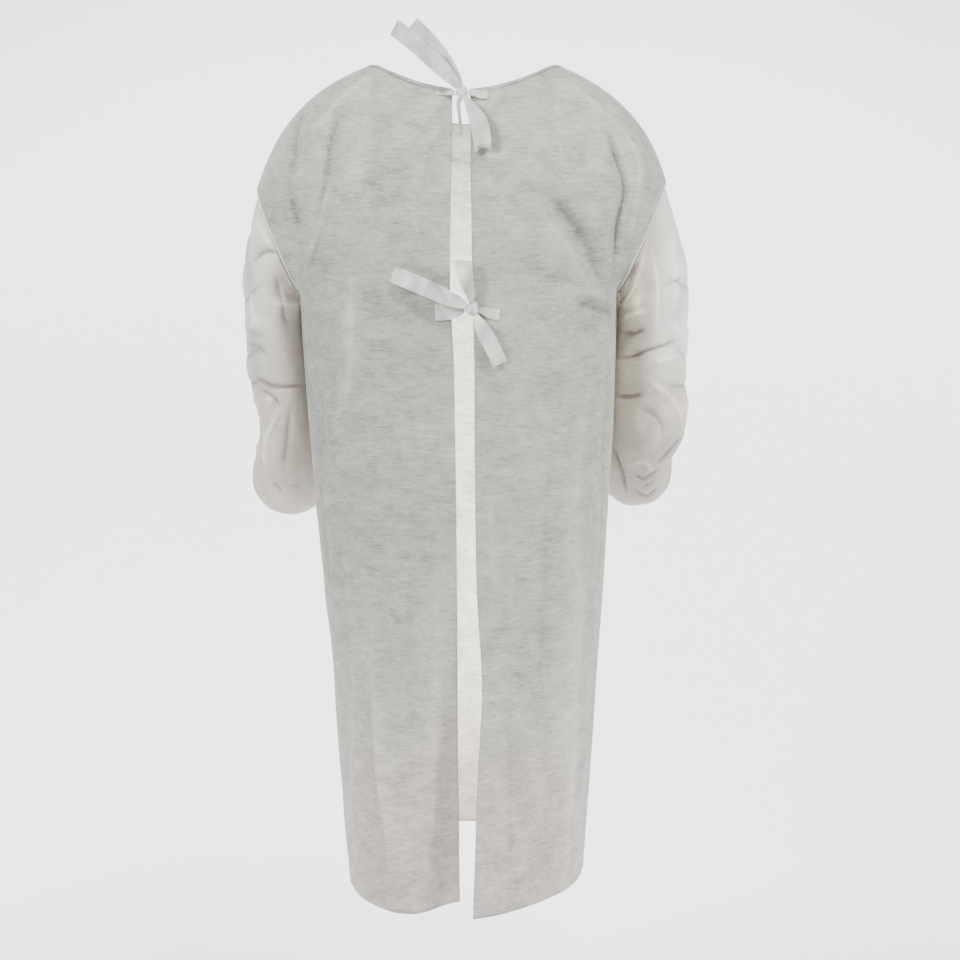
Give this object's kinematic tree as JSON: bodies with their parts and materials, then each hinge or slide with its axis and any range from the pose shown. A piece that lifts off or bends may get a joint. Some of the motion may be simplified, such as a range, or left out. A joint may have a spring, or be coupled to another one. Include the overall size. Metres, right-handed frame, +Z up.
{
  "type": "isolation gown",
  "caption": "Long-sleeved isolation gown in its worn form, empty, its open back tied at the neck and mid-back, with gathered wrists",
  "frame": {"origin": "the middle of the straight line between the two neck points, on top of the shoulders, where the wearer's shoulders carry the gown", "axes": "+Z up, the front faces -Y and the open back +Y, +X is the wearer's left; the hem is at z = -1.17 m"},
  "size_m": [0.6539, 0.4119, 1.2266],
  "materials": {
    "cloth": "matt nonwoven, light grey",
    "sleeve": "matt nonwoven, off-white",
    "tie": "matt nonwoven, white"
  },
  "bodies": {
    "root": {"front": "cloth", "back_left": "cloth", "back_right": "cloth", "sleeve_left": "sleeve", "sleeve_right": "sleeve", "cuff_left": "sleeve", "cuff_right": "sleeve", "neck_binding": "cloth", "neck_knot": "tie", "neck_tie_end_left": "tie", "neck_tie_end_right": "tie", "neck_tail_long": "tie", "neck_tail_short": "tie", "neck_loop_wide": "tie", "neck_loop_narrow": "tie", "back_knot": "tie", "back_tie_end_left": "tie", "back_tie_end_right": "tie", "back_tail_upper": "tie", "back_tail_lower": "tie", "back_loop_upper": "tie"}
  },
  "joints": []
}
